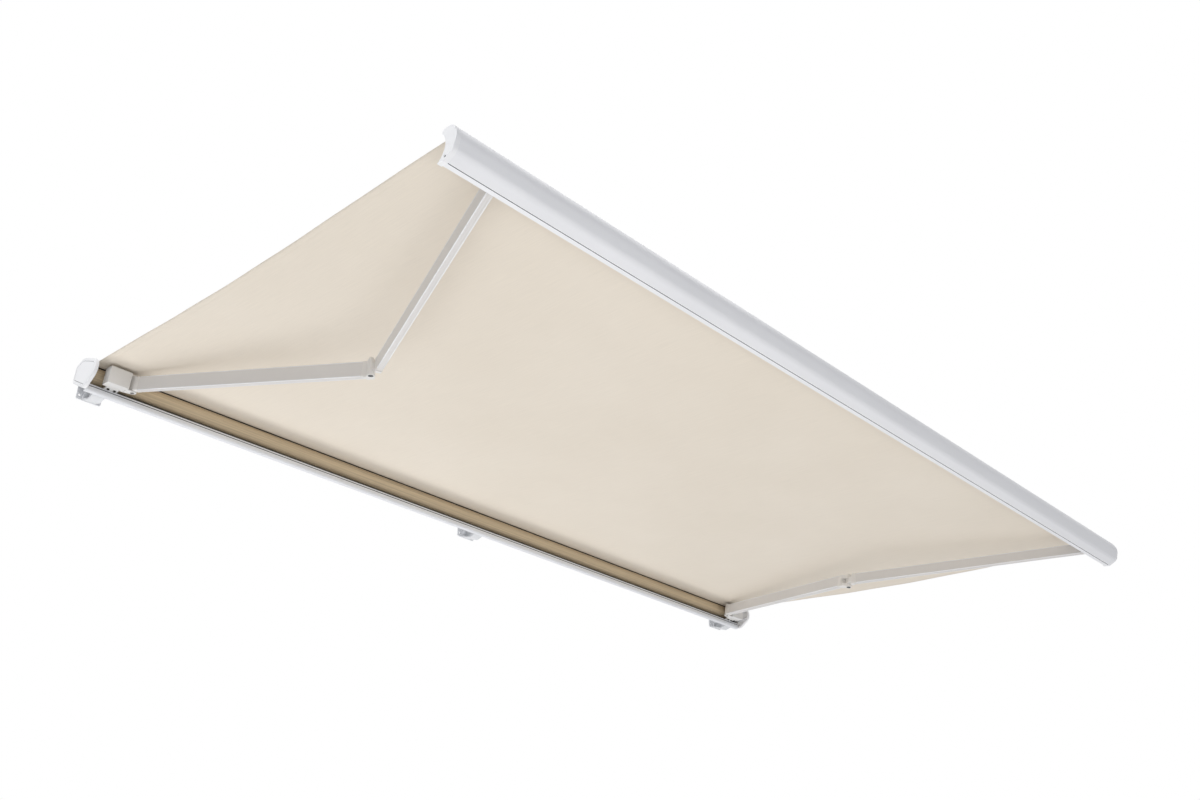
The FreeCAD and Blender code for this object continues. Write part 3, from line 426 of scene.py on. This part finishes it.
painted = {
    "housing_paint": dict(colour=(229, 230, 233), peelScale=700.0, cloudScale=2.0, dust=0.10,
                          toneSpread=0.03, gloss=0.34, depth=0.00006),
    "bar_paint": dict(colour=(240, 240, 242), peelScale=700.0, cloudScale=2.0, dust=0.08,
                      toneSpread=0.03, gloss=0.34, depth=0.00006),
    "arm_paint": dict(colour=(225, 222, 219), peelScale=700.0, cloudScale=3.0, dust=0.10,
                      toneSpread=0.04, gloss=0.38, depth=0.00006),
    "casting_paint": dict(colour=(234, 231, 227), peelScale=260.0, cloudScale=6.0, dust=0.16,
                          toneSpread=0.06, gloss=0.42, depth=0.00018),
    "shoulder_paint": dict(colour=(226, 224, 221), peelScale=300.0, cloudScale=6.0, dust=0.14,
                           toneSpread=0.06, gloss=0.40, depth=0.00012),
    "bracket_paint": dict(colour=(226, 227, 229), peelScale=240.0, cloudScale=8.0, dust=0.14,
                          toneSpread=0.06, gloss=0.40, depth=0.00018),
    "clamp_paint": dict(colour=(214, 210, 203), peelScale=240.0, cloudScale=8.0, dust=0.16,
                        toneSpread=0.06, gloss=0.40, depth=0.00018),
    # painted highlight: brighter than the arm paint, for the beads along the arms' edges
    "edge_highlight_paint": dict(colour=(248, 248, 250), peelScale=700.0, cloudScale=3.0, dust=0.04,
                       toneSpread=0.02, gloss=0.26, depth=0.00004),
    "cap_plastic": dict(colour=(244, 244, 245), peelScale=1100.0, cloudScale=5.0, dust=0.06,
                        toneSpread=0.02, gloss=0.48, depth=0.00008),
    "panel_plastic": dict(colour=(246, 246, 247), peelScale=1100.0, cloudScale=5.0, dust=0.05,
                          toneSpread=0.02, gloss=0.44, depth=0.00006),
    "knob_plastic": dict(colour=(232, 230, 226), peelScale=900.0, cloudScale=20.0, dust=0.10,
                         toneSpread=0.04, gloss=0.42, depth=0.00006),
    "inner_plastic": dict(colour=(42, 42, 44), peelScale=900.0, cloudScale=20.0, dust=0.20,
                          toneSpread=0.15, gloss=0.55, depth=0.00008),
    "bush_plastic": dict(colour=(52, 51, 50), peelScale=900.0, cloudScale=30.0, dust=0.20,
                         toneSpread=0.15, gloss=0.50, depth=0.00005),
    "keder_plastic": dict(colour=(226, 222, 212), peelScale=600.0, cloudScale=20.0, dust=0.10,
                          toneSpread=0.05, gloss=0.35, depth=0.00005),
    "cable_coating": dict(colour=(34, 34, 34), peelScale=900.0, cloudScale=30.0, dust=0.15,
                          toneSpread=0.15, gloss=0.45, depth=0.00006),
    "motor_metal": dict(colour=(150, 152, 155), peelScale=500.0, cloudScale=10.0, dust=0.15,
                        toneSpread=0.08, gloss=0.40, depth=0.00008),
    "seal_brush": dict(colour=(58, 54, 48), peelScale=1500.0, cloudScale=30.0, dust=0.25,
                       toneSpread=0.25, gloss=0.75, depth=0.00015),
}
drawnLooks = {
    "screw_steel": dict(colour=(74, 71, 68), stretch=(500.0, 500.0, 500.0), gloss=0.38, depth=0.00005, metal=1.0),
    "roller_steel": dict(colour=(176, 178, 180), stretch=(3.0, 500.0, 500.0), gloss=0.35, depth=0.00005, metal=1.0),
    "pin_steel": dict(colour=(178, 176, 172), stretch=(120.0, 120.0, 1500.0), gloss=0.30, depth=0.00004, metal=1.0),
    "rivet_aluminium": dict(colour=(205, 205, 204), stretch=(300.0, 300.0, 300.0), gloss=0.36, depth=0.00004,
                            metal=1.0),
    "spring_steel": dict(colour=(96, 97, 100), stretch=(400.0, 400.0, 40.0), gloss=0.36, depth=0.00005, metal=1.0),
}
clothLook = dict(colour=(240, 230, 215), threads=1100.0, slub=(260.0, 6.0, 1.0), toneSpread=0.05, depth=0.00010,
                 sheen=0.15)
# The roll's cloth is a darker, browner copy of the sheet's colour: painted shade of the cassette over the roll.
woundShadedLook = dict(colour=(224, 204, 172), threads=1100.0, slub=(0.8, 150.0, 1.0), toneSpread=0.30, depth=0.00012,
                 sheen=0.10)

materials = {name: paintedMaterial(name, look) for name, look in painted.items()}
materials.update({name: drawnMaterial(name, look) for name, look in drawnLooks.items()})
materials["cloth"] = clothMaterial("cloth", clothLook)
materials["woundCloth"] = clothMaterial("woundCloth", woundShadedLook)
print("materials ready:", len(materials))

slotOfNode = {part["node"]: part["material_slot"] for part in frame["record"]["subparts"]}
for nodeName, node in frame["nodes"].items():
    chosen = materials[slotOfNode[nodeName]]
    if not node.material_slots:
        node.data.materials.append(chosen)
    for place in node.material_slots:
        place.material = chosen
print("nodes finished")


# A quad mesh on a rows by columns grid of points, as whole arrays.
def meshFromGrid(name, points, closeAround=False, uv=None):
    rows, columns = points.shape[:2]
    index = np.arange(rows * columns).reshape(rows, columns)
    if closeAround:
        index = np.concatenate([index, index[:, :1]], axis=1)
    quads = np.stack([index[:-1, :-1], index[:-1, 1:], index[1:, 1:], index[1:, :-1]], -1).reshape(-1, 4)
    mesh = bpy.data.meshes.new(name)
    mesh.vertices.add(rows * columns)
    mesh.vertices.foreach_set("co", points.reshape(-1).astype(np.float32))
    mesh.loops.add(quads.size)
    mesh.loops.foreach_set("vertex_index", quads.reshape(-1).astype(np.int32))
    mesh.polygons.add(len(quads))
    mesh.polygons.foreach_set("loop_start", (np.arange(len(quads)) * 4).astype(np.int32))
    mesh.polygons.foreach_set("use_smooth", np.ones(len(quads), bool))
    mesh.update(calc_edges=True)
    if uv is not None:
        layer = mesh.uv_layers.new(name="UVMap")
        layer.data.foreach_set("uv", uv.reshape(-1, 2)[quads.reshape(-1)].reshape(-1).astype(np.float32))
    mesh.validate()
    piece = bpy.data.objects.new(name, mesh)
    bpy.context.scene.collection.objects.link(piece)
    return piece


# Even angles once round, without the last, which is the first again.
def fullTurn(count):
    return np.linspace(0.0, 2.0 * math.pi, count, endpoint=False)


rollLow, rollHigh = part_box("wound_cloth")
clothPiece = {
    "width": rollHigh[0] - rollLow[0],
    "thickness": 0.0009,
    "rollerAxis": ((rollLow[1] + rollHigh[1]) / 2, (rollLow[2] + rollHigh[2]) / 2),
    "rollRadius": (rollHigh[2] - rollLow[2]) / 2 + 0.0003,
    "slope": 6.0,             # degrees down towards the front bar
    "sag": 0.025,
    "slackEdge": 0.003,       # the side hems hang this much lower in the middle
    "ripple": 0.0012,
    "hemWidth": 0.028,
    "hemRise": 0.0008,
    "lift": 0.0006,           # from the roll's skin to the middle of the cloth
    "frontEnd": (0.0002, 0.0012),   # back and up from the lowest front corner of the CAD's sheet
    "edgePower": 14,
    "ripplePower": 10,
    "rippleTurns": (34.0, 2.0),     # radians from roller to bar, and across
    "frontRipple": (0.6, 23.0, 0.7),   # share, radians across and phase of the ripple near the bar
    "lengthGain": 3.7,        # flat length over chord is 1 plus this times the square of sag over chord
    "keep": 0.06,             # share of the run that is left when the cloth is run in
    "rows": 120,
    "columns": 376,
}
clothPiece["ride"] = clothPiece["rollRadius"] + clothPiece["lift"]


# Height = chord minus sag times the square of 4 v (1 - v), minus the slack of the hems and a faint ripple near
# them. The square keeps the cloth level near the roller, so that it stays off the roll when it is run in.
# u runs across the cloth and v from the roller to the front bar.
def makeCloth(look):
    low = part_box("awning_cloth")[0]
    slope = math.radians(look["slope"])
    upward = np.array([0.0, -math.sin(slope), math.cos(slope)])
    start = np.array([0.0, look["rollerAxis"][0], look["rollerAxis"][1]]) + upward * look["ride"]
    end = np.array([0.0, low[1] + look["frontEnd"][0], low[2] + look["frontEnd"][1]])
    chord = end - start
    u = np.linspace(-1.0, 1.0, look["columns"])
    hem = 1.0 - 2.0 * look["hemWidth"] / look["width"]
    u = np.sort(np.concatenate([u, [-hem, hem, -hem - 0.0004, hem + 0.0004]]))
    v = np.linspace(0.0, 1.0, look["rows"])
    gridU, gridV = np.meshgrid(u, v)
    belly = (4.0 * gridV * (1.0 - gridV)) ** 2
    edge = np.abs(gridU) ** look["edgePower"]
    downTurns, crossTurns = look["rippleTurns"]
    share, frontTurns, phase = look["frontRipple"]
    ripple = np.sin(gridV * downTurns + gridU * crossTurns) * np.abs(gridU) ** look["ripplePower"] * belly ** 0.5
    ripple += share * np.sin(gridU * frontTurns + phase) * gridV ** 3 * (1.0 - gridV) * 4.0
    drop = look["sag"] * belly + look["slackEdge"] * edge * belly + look["ripple"] * ripple
    drop -= look["hemRise"] * (np.abs(gridU) > hem) * 0.5
    points = start + gridV[..., None] * chord - drop[..., None] * upward
    points[..., 0] = gridU * look["width"] / 2
    chordLength = float(np.linalg.norm(chord))
    length = chordLength * (1.0 + look["lengthGain"] * (look["sag"] / chordLength) ** 2)
    uv = np.stack([gridU * look["width"] / 2, gridV * length], -1)
    piece = meshFromGrid("clothSheet", points, uv=uv)
    thick = piece.modifiers.new("thickness", "SOLIDIFY")
    thick.thickness = look["thickness"]
    thick.offset = 0.0
    piece.data.materials.append(materials["cloth"])
    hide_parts("awning_cloth")
    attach(piece, "cassette")
    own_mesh(piece)


woundPiece = {
    "layers": 9,
    "inner": 0.0401,
    "skin": 0.0004,           # the roll stays this far inside the circle that the cloth leaves from
    "innerInset": 0.003,
    "edgeInset": 0.001,
    "edgeStep": 0.0009,       # how far a layer's edge moves along the roller
    "stepWave": (2.4, 0.5),   # radians per layer, and phase
    "groove": 0.00005,
    "plainInset": 0.03,       # the long even middle starts this far from the ends
    "plainStations": 40,
    "wave": (0.0002, 9.0),    # height, and radians per metre along the roller
    "around": 96,
}


# A turned profile: the edge of each layer steps in or out by a sine of the layer's number, and the middle's radius
# swells by a slow sine along the roller.
def makeWoundCloth(look, roll):
    layers = look["layers"]
    inner, outer = look["inner"], roll["rollRadius"] - look["skin"]
    half = roll["width"] / 2
    radii, along = [inner], [-half + look["innerInset"]]
    for layer in range(layers):
        low = inner + (outer - inner) * layer / layers
        high = inner + (outer - inner) * (layer + 1) / layers
        step = look["edgeStep"] * math.sin(layer * look["stepWave"][0] + look["stepWave"][1])
        radii += [low + look["groove"], high - look["groove"]]
        along += [-half + look["edgeInset"] + step] * 2
    edge = len(radii)
    middle = np.linspace(-half + look["plainInset"], half - look["plainInset"], look["plainStations"])
    radii = np.array(radii + [outer] * len(middle) + radii[:edge][::-1])
    along = np.array(along + list(middle) + [-x for x in along[:edge]][::-1])
    radii = radii + np.where(radii >= outer - 1e-6, look["wave"][0] * np.sin(along * look["wave"][1]), 0.0)
    angle = fullTurn(look["around"])
    turn, radius = np.meshgrid(angle, radii)
    _, x = np.meshgrid(angle, along)
    y0, z0 = roll["rollerAxis"]
    points = np.stack([x, y0 + radius * np.cos(turn), z0 + radius * np.sin(turn)], -1)
    uv = np.stack([x, turn * outer], -1)
    points = np.concatenate([points, points[:1]], axis=0)
    uv = np.concatenate([uv, uv[:1]], axis=0)
    piece = meshFromGrid("woundCloth", points[:, ::-1], closeAround=True, uv=uv[:, ::-1])
    piece.data.materials.append(materials["woundCloth"])
    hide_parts("wound_cloth")
    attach(piece, "roller")


makeWoundCloth(woundPiece, clothPiece)
makeCloth(clothPiece)
print("cloth ready")


# Points that meet become one, and all faces point outwards.
def closeSkin(piece):
    shell = bmesh.new()
    shell.from_mesh(piece.data)
    bmesh.ops.remove_doubles(shell, verts=shell.verts, dist=1e-6)
    bmesh.ops.recalc_face_normals(shell, faces=shell.faces)
    shell.to_mesh(piece.data)
    shell.free()


# A closed skin from rings of points: each ring is one row, and the first and last row shrink to a pole.
def closedRings(name, rings):
    rings = np.concatenate([rings[:1] * 0.0 + rings[0].mean(0), rings, rings[:1] * 0.0 + rings[-1].mean(0)])
    piece = meshFromGrid(name, rings, closeAround=True)
    closeSkin(piece)
    return piece


def finishPiece(piece, materialName, body):
    piece.data.materials.append(materials[materialName])
    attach(piece, body)


# The corners of a CAD node's mesh as an array.
def nodeCorners(nodeName):
    mesh = frame["nodes"][nodeName].data
    corners = np.empty(len(mesh.vertices) * 3, np.float32)
    mesh.vertices.foreach_get("co", corners)
    return corners.reshape(-1, 3).astype(float)


stripCorners = 24
turnedCorners = 64


# A long strip: a superellipse in Y and Z, whose cosine and sine are taken to the power of 2 over
# its squareness, carried along X.
def makeStrip(name, look, body):
    (yLow, zLow), (yHigh, zHigh) = look["low"], look["high"]
    turn = fullTurn(stripCorners)
    half = np.array([(yHigh - yLow) / 2, (zHigh - zLow) / 2])
    power = 2.0 / look["square"]
    side = np.stack([np.sign(np.cos(turn)) * np.abs(np.cos(turn)) ** power,
                     np.sign(np.sin(turn)) * np.abs(np.sin(turn)) ** power], -1) * half
    side += np.array([(yLow + yHigh) / 2, (zLow + zHigh) / 2])
    stations = np.linspace(-look["half"], look["half"], look["stations"])
    rings = np.concatenate([np.repeat(stations[:, None, None], len(turn), 1),
                            np.repeat(side[None], len(stations), 0)], -1)
    finishPiece(closedRings(name, rings), look["slot"], body)


# A turned piece: radius and height along the hinge axis, spun round it.
def makeTurned(name, profile, place, axis, slotName, body):
    axis = np.array(axis) / np.linalg.norm(axis)
    across = np.cross(axis, (1.0, 0.0, 0.0))
    across /= np.linalg.norm(across)
    beside = np.cross(axis, across)
    turn = fullTurn(turnedCorners)
    circle = np.cos(turn)[:, None] * across + np.sin(turn)[:, None] * beside
    profile = np.array(profile)
    rings = np.array(place) + profile[:, 1, None, None] * axis + profile[:, 0, None, None] * circle
    finishPiece(closedRings(name, rings), slotName, body)


# Dark strips lying in the grooves of the front bar and the rail: painted shade of the groove lines.
grooveShadeStrips = {
    "barGrooveShade": dict(low=(-2.92585, -0.33862), high=(-2.92255, -0.33772), half=2.499, stations=60,
                           square=7.0, slot="inner_plastic"),
    "railGrooveShade": dict(low=(-0.1641, -0.0593), high=(-0.1606, -0.0552), half=2.499, stations=60,
                            square=7.0, slot="inner_plastic"),
}
makeStrip("barGrooveShade", grooveShadeStrips["barGrooveShade"], "front_bar")
makeStrip("railGrooveShade", grooveShadeStrips["railGrooveShade"], "cassette")

# A dark rod in the wedge between the roller and the cloth, painted shade of that wedge; the cloth runs just over
# it.
wedgeShadeRod = {"radius": 0.0024, "half": 2.4855, "clear": 0.0004, "stations": 60}
rodDrop = clothPiece["ride"] - clothPiece["thickness"] / 2 - wedgeShadeRod["clear"] - wedgeShadeRod["radius"]
rodReach = math.sqrt((clothPiece["rollRadius"] + wedgeShadeRod["radius"] + wedgeShadeRod["clear"]) ** 2 - rodDrop ** 2)
slopeAngle = math.radians(clothPiece["slope"])
rodY = clothPiece["rollerAxis"][0] - rodReach * math.cos(slopeAngle) - rodDrop * math.sin(slopeAngle)
rodZ = clothPiece["rollerAxis"][1] - rodReach * math.sin(slopeAngle) + rodDrop * math.cos(slopeAngle)
makeStrip("clothWedgeShadeRod", dict(low=(rodY - wedgeShadeRod["radius"], rodZ - wedgeShadeRod["radius"]),
                                high=(rodY + wedgeShadeRod["radius"], rodZ + wedgeShadeRod["radius"]),
                                half=wedgeShadeRod["half"], stations=wedgeShadeRod["stations"], square=2.0,
                                slot="seal_brush"), "cassette")

panelSeamShade = {
    "offset": 0.0009,         # from the panel's edge to the middle of the seam
    "radius": 0.00085,
    "face": 2.5168,
    "points": 320,
    "around": 12,
    "directions": 1440,
}


# A thin dark round strip in the seam, painted shade of the seam between cap and panel: the panel's outline is the
# row of its farthest points over every direction, moved outwards by half the seam, with a small circle carried
# round it.
def makePanelSeamShade(look, side):
    corners = nodeCorners("cap_panels")
    corners = corners[corners[:, 0] * side > 0][:, 1:]
    turn = fullTurn(look["directions"])
    outline = corners[np.argmax(corners @ np.stack([np.cos(turn), np.sin(turn)]), axis=0)]
    outline = outline[np.any(np.abs(outline - np.roll(outline, 1, 0)) > 1e-7, axis=1)]
    outline = np.concatenate([outline, outline[:1]])
    walked = np.concatenate([[0.0], np.cumsum(np.linalg.norm(np.diff(outline, axis=0), axis=1))])
    steps = np.linspace(0.0, walked[-1], look["points"], endpoint=False)
    loop = np.stack([np.interp(steps, walked, outline[:, 0]), np.interp(steps, walked, outline[:, 1])], -1)
    ahead = np.roll(loop, -1, 0) - np.roll(loop, 1, 0)
    ahead /= np.linalg.norm(ahead, axis=1)[:, None]
    outward = np.stack([ahead[:, 1], -ahead[:, 0]], -1)
    loop = loop + outward * look["offset"]
    around = fullTurn(look["around"])
    points = np.empty((look["points"], look["around"], 3))
    points[..., 0] = side * (look["face"] + look["radius"] * np.sin(around))[None]
    points[..., 1:] = loop[:, None] + outward[:, None] * (look["radius"] * np.cos(around))[None, :, None]
    points = np.concatenate([points, points[:1]])
    piece = meshFromGrid("panelSeamShade_" + ("left" if side < 0 else "right"), points, closeAround=True)
    closeSkin(piece)
    finishPiece(piece, "inner_plastic", "cassette")


makePanelSeamShade(panelSeamShade, -1)
makePanelSeamShade(panelSeamShade, 1)

elbowCap = {
    "foot": 0.0387,           # from the arm's middle to the underside of the pin's foot
    "lug": 0.0363,
    "outer": 0.0166,
    "inner": 0.0101,
    "shadeDish": 0.0124,
}


# The light ring round the pin's foot, and a dark dish over its bore as painted shade of the recess under the pin. A
# profile's pairs are radius and height along the hinge's axis.
def makeElbowCaps(look):
    ring = [(look["inner"], -look["lug"]), (look["outer"] - 0.0002, -look["lug"]),
            (look["outer"], -look["lug"] - 0.0004), (look["outer"] - 0.0004, -look["foot"] + 0.0006),
            (look["outer"] - 0.0013, -look["foot"] + 0.0001), (look["inner"] + 0.0008, -look["foot"] + 0.0001),
            (look["inner"], -look["foot"] + 0.0006)]
    shadeDish = [(0.0050, -look["foot"] + 0.0006), (look["shadeDish"], -look["foot"] - 0.00002),
            (look["shadeDish"], -look["foot"] - 0.00016), (look["shadeDish"] - 0.0006, -look["foot"] - 0.00030),
            (0.0060, -look["foot"] - 0.00012), (0.0030, -look["foot"] - 0.00006)]
    for joint in frame["joints"]:
        if not joint["name"].startswith("elbow"):
            continue
        side = joint["name"].split("_")[1]
        place, axis = joint["pos_m"], joint["axis"]
        if axis[2] < 0:
            axis = [-value for value in axis]
        makeTurned("elbowRing_" + side, ring, place, axis, "knob_plastic", "rear_arm_" + side)
        makeTurned("elbowShadeDish_" + side, shadeDish, place, axis, "inner_plastic", "rear_arm_" + side)


makeElbowCaps(elbowCap)

armEdges = {
    "radius": 0.0021,
    "inset": 0.0022,          # from the tube's two faces to the middle of the bead
    "short": 0.006,           # the bead stops this far from the tube's ends
    "stations": 12,
    "endCut": 0.006,          # corners this near a tube's end belong to its cut
    "around": 16,
    "tilt": 20.0,             # degrees to each side that are tried for the section's turn
    "tilts": 801,
}


# A rounded bead in bright paint along each of a tube's four long edges, a painted highlight on those edges. The
# tube's section is turned until the box round it is smallest, and the beads follow that box's corners from one cut
# end to the other.
def makeArmEdges(nodeName, start, end, body, look):
    corners = nodeCorners(nodeName) - np.array(start)
    along = np.array(end) - np.array(start)
    along /= np.linalg.norm(along)
    reach = corners @ along   # the tube's own line runs through the middles of its two cut ends
    farEnd = corners[reach > reach.max() - look["endCut"]]
    nearEnd = corners[reach < reach.min() + look["endCut"]]
    along = farEnd.mean(axis=0) - nearEnd.mean(axis=0)
    along /= np.linalg.norm(along)
    upward = np.array([0.0, 0.0, 1.0]) - along * along[2]
    upward /= np.linalg.norm(upward)
    beside = np.cross(along, upward)
    flat = np.stack([corners @ upward, corners @ beside])
    tilts = np.radians(np.linspace(-look["tilt"], look["tilt"], look["tilts"]))
    tall = np.cos(tilts)[:, None] * flat[0] + np.sin(tilts)[:, None] * flat[1]
    wide = -np.sin(tilts)[:, None] * flat[0] + np.cos(tilts)[:, None] * flat[1]
    best = int(np.argmin(np.ptp(tall, axis=1) * np.ptp(wide, axis=1)))
    tallWay = math.cos(tilts[best]) * upward + math.sin(tilts[best]) * beside
    wideWay = -math.sin(tilts[best]) * upward + math.cos(tilts[best]) * beside
    reach = corners @ along
    stations = np.linspace(reach.min() + look["short"], reach.max() - look["short"], look["stations"])
    turn = fullTurn(look["around"])
    circle = look["radius"] * (np.cos(turn)[:, None] * tallWay + np.sin(turn)[:, None] * wideWay)
    beads = []
    for tallPlace in (tall[best].min() + look["inset"], tall[best].max() - look["inset"]):
        for widePlace in (wide[best].min() + look["inset"], wide[best].max() - look["inset"]):
            middle = np.array(start) + tallPlace * tallWay + widePlace * wideWay
            rings = middle + stations[:, None, None] * along + circle[None]
            beads.append(closedRings(nodeName + "_bead" + str(len(beads)), rings))
    whole = bmesh.new()
    for bead in beads:
        whole.from_mesh(bead.data)
        bpy.data.objects.remove(bead)
    mesh = bpy.data.meshes.new(nodeName + "_edges")
    whole.to_mesh(mesh)
    whole.free()
    piece = bpy.data.objects.new(nodeName + "_edges", mesh)
    bpy.context.scene.collection.objects.link(piece)
    finishPiece(piece, "edge_highlight_paint", body)


hingePlace = {joint["name"]: joint["pos_m"] for joint in frame["joints"]}
for side, mirror in (("left", 1.0), ("right", -1.0)):
    shoulder, elbow = hingePlace["shoulder_" + side], hingePlace["elbow_" + side]
    bar = hingePlace["front_hinge_left"]
    front = (bar[0] * mirror, bar[1], bar[2])
    makeArmEdges("rear_arm_tube_" + side, shoulder, elbow, "rear_arm_" + side, armEdges)
    makeArmEdges("forearm_tube_" + side, elbow, front, "forearm_" + side, armEdges)
print("strips, seals, elbow caps and arm edges ready")
